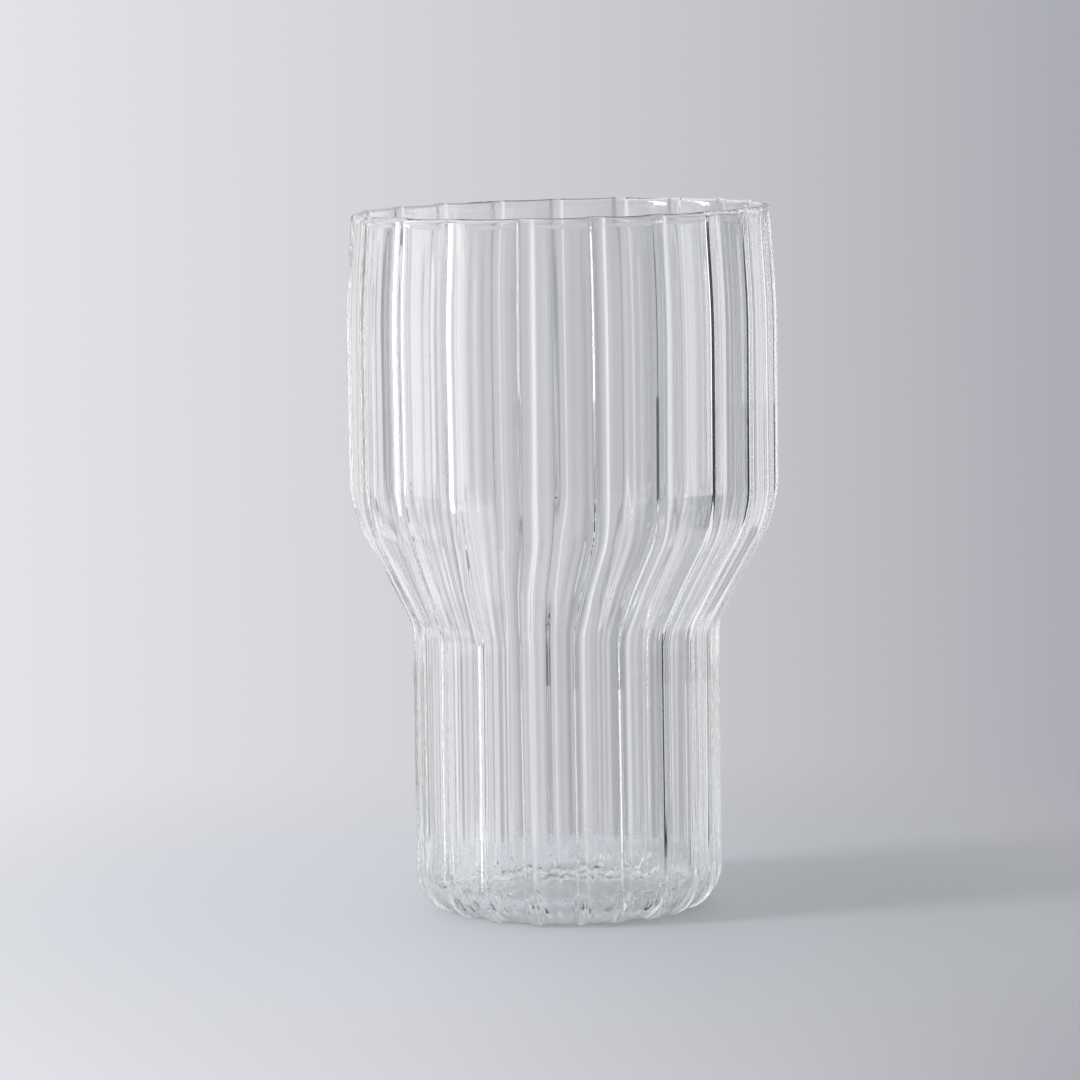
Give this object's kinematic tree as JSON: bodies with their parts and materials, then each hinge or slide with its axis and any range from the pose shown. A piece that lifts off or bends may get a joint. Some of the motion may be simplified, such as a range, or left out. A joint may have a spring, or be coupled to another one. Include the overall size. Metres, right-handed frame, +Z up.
{
  "type": "chai glass",
  "caption": "Clear ribbed drinking glass with a narrow foot barrel, a conical shoulder and a wide bowl, blown in one piece to stand on a table and hold a drink.",
  "frame": {"origin": "centre of the foot, on the table that the glass stands on", "axes": "+Z up along the glass's axis; the side seen in the picture faces -Y"},
  "size_m": [0.081, 0.0806, 0.132],
  "materials": {
    "clear_glass": "clear, fire-polished"
  },
  "bodies": {
    "root": {"glass_body": "clear_glass"}
  },
  "joints": []
}
